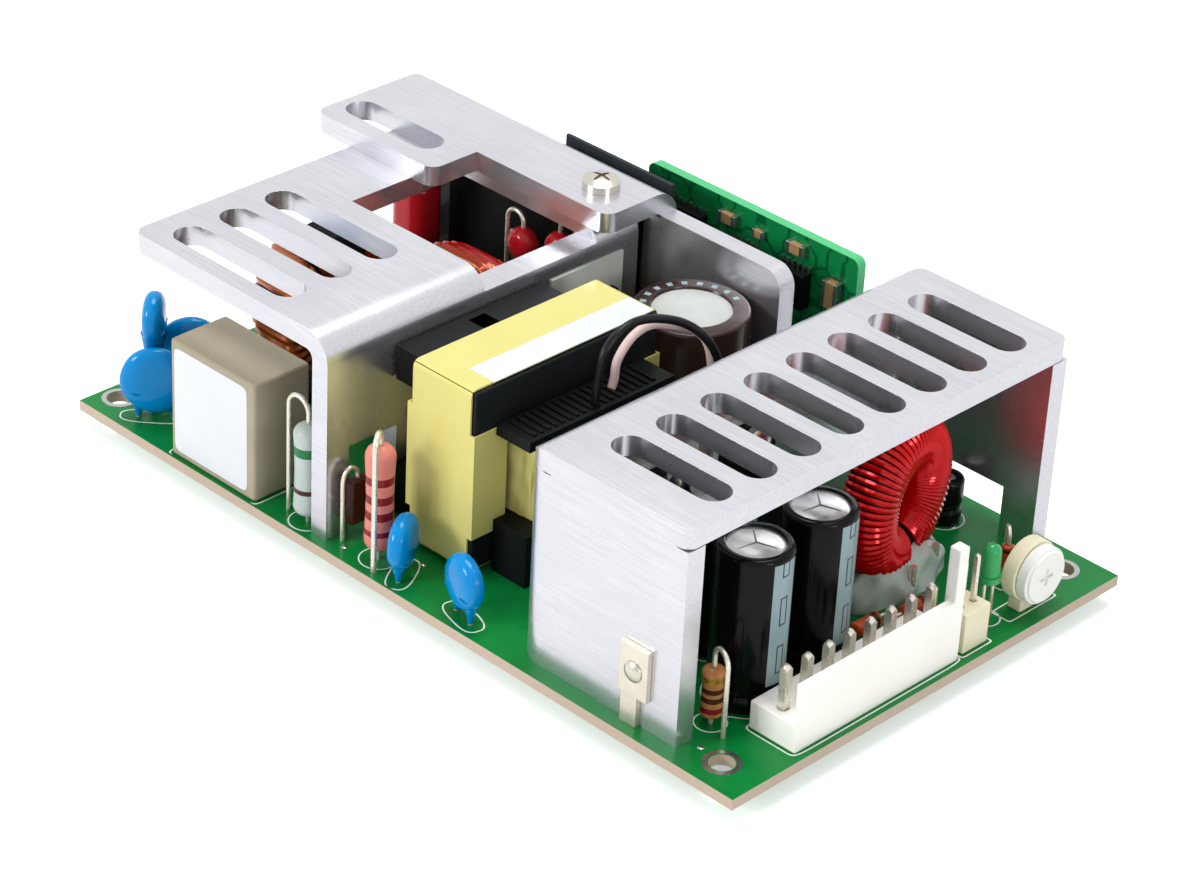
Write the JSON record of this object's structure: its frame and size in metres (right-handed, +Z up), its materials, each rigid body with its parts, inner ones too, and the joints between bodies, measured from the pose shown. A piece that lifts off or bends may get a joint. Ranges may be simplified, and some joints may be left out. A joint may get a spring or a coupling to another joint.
{
  "type": "open frame power supply",
  "caption": "Open frame switching power supply: green circuit board with folded slotted aluminium heatsinks, a taped transformer, chokes, capacitors and ivory pin headers.",
  "frame": {"origin": "centre of the overall box, at its lowest point, the tips of the trimmed leads", "axes": "+X from the mains input end to the output header end, +Y to the control board's side, +Z up from the board"},
  "size_m": [0.127, 0.0762, 0.04],
  "materials": {
    "board_green": "green solder mask over glass laminate, satin",
    "heatsink_sheet": "mill finish aluminium sheet, dull silver",
    "tinned_wire": "tinned wire, soft shine",
    "plated_steel": "nickel plated steel",
    "tinned_sheet": "tinned sheet metal",
    "ivory_nylon": "ivory moulded nylon",
    "brown_phenolic": "brown moulded case",
    "tan_case": "grey-tan moulded case, satin",
    "blue_dip": "bright blue dipped epoxy, glossy",
    "ferrite": "dark grey ferrite",
    "copper_wire": "enamelled copper wire, glossy",
    "black_plastic": "black moulded plastic",
    "black_mould": "black moulding compound",
    "red_film": "dark red dipped epoxy, glossy",
    "grey_body": "pale grey coating with a green band",
    "pink_body": "pink coating with dark red bands",
    "grey_pad": "thin grey silicone pad",
    "yellow_tape": "yellow polyester tape",
    "pale_lead": "pale pink insulation",
    "dark_lead": "black insulation",
    "can_aluminium": "bare aluminium can top with scored vents",
    "brown_sleeve": "dark brown shrunk sleeve",
    "dark_sheet": "dark insulating film",
    "black_sleeve": "black shrunk sleeve with a grey stripe",
    "red_enamel": "red enamelled wire, glossy",
    "clear_adhesive": "translucent grey-white silicone adhesive",
    "cream_nylon": "cream moulded nylon",
    "green_lamp": "green tinted epoxy lens",
    "orange_body": "orange-red body with a dark band",
    "tan_body": "tan coating with colour bands",
    "white_disc": "white moulded disc",
    "solder": "bright solder"
  },
  "bodies": {
    "chassis": {"main_board": "board_green", "heatsink_primary": "heatsink_sheet", "heatsink_rear": "heatsink_sheet", "heatsink_output": "heatsink_sheet", "heatsink_pins": "tinned_wire", "heatsink_screws": "plated_steel", "ground_lug": "tinned_sheet", "lug_rivet": "plated_steel", "input_header": "ivory_nylon", "input_fuse": "brown_phenolic", "box_capacitor": "tan_case", "disc_capacitors": "blue_dip", "line_choke_core": "ferrite", "line_choke_windings": "copper_wire", "line_choke_base": "black_plastic", "bridge_rectifier": "black_mould", "film_capacitor": "red_film", "boost_choke_core": "ferrite", "boost_choke_winding": "copper_wire", "boost_choke_base": "black_plastic", "dipped_capacitors": "red_film", "inrush_limiter": "grey_body", "power_resistor": "pink_body", "power_transistors": "black_mould", "insulating_pads": "grey_pad", "transformer_core": "ferrite", "transformer_bobbin": "black_mould", "transformer_winding": "yellow_tape", "transformer_tape": "yellow_tape", "flying_lead_pale": "pale_lead", "flying_lead_dark": "dark_lead", "bulk_capacitor_can": "can_aluminium", "bulk_capacitor_sleeve": "brown_sleeve", "insulating_sheet": "dark_sheet", "control_board": "board_green", "control_board_parts": "black_mould", "control_board_pins": "tinned_wire", "output_capacitor_cans": "can_aluminium", "output_capacitor_sleeves": "black_sleeve", "rear_capacitor": "black_sleeve", "output_choke_core": "ferrite", "output_choke_winding": "red_enamel", "output_choke_leads": "tinned_wire", "output_choke_adhesive": "clear_adhesive", "output_rectifiers": "black_mould", "output_header": "ivory_nylon", "signal_header": "cream_nylon", "header_pins_tinned": "tinned_wire", "indicator_lamp": "green_lamp", "glass_diode": "orange_body", "banded_resistors": "tan_body", "lying_diodes": "orange_body", "trimmer_body": "cream_nylon", "input_leads": "tinned_wire", "output_leads": "tinned_wire", "solder_joints": "solder"},
    "trimmer": {"trimmer_disc": "white_disc"}
  },
  "joints": [
    {"name": "trimmer_turn", "type": "hinge", "parent": "chassis", "child": "trimmer", "pos_m": [0.0626, 0.023, 0.0098], "axis": [1, 0, 0], "range_deg": [-135, 135]}
  ]
}
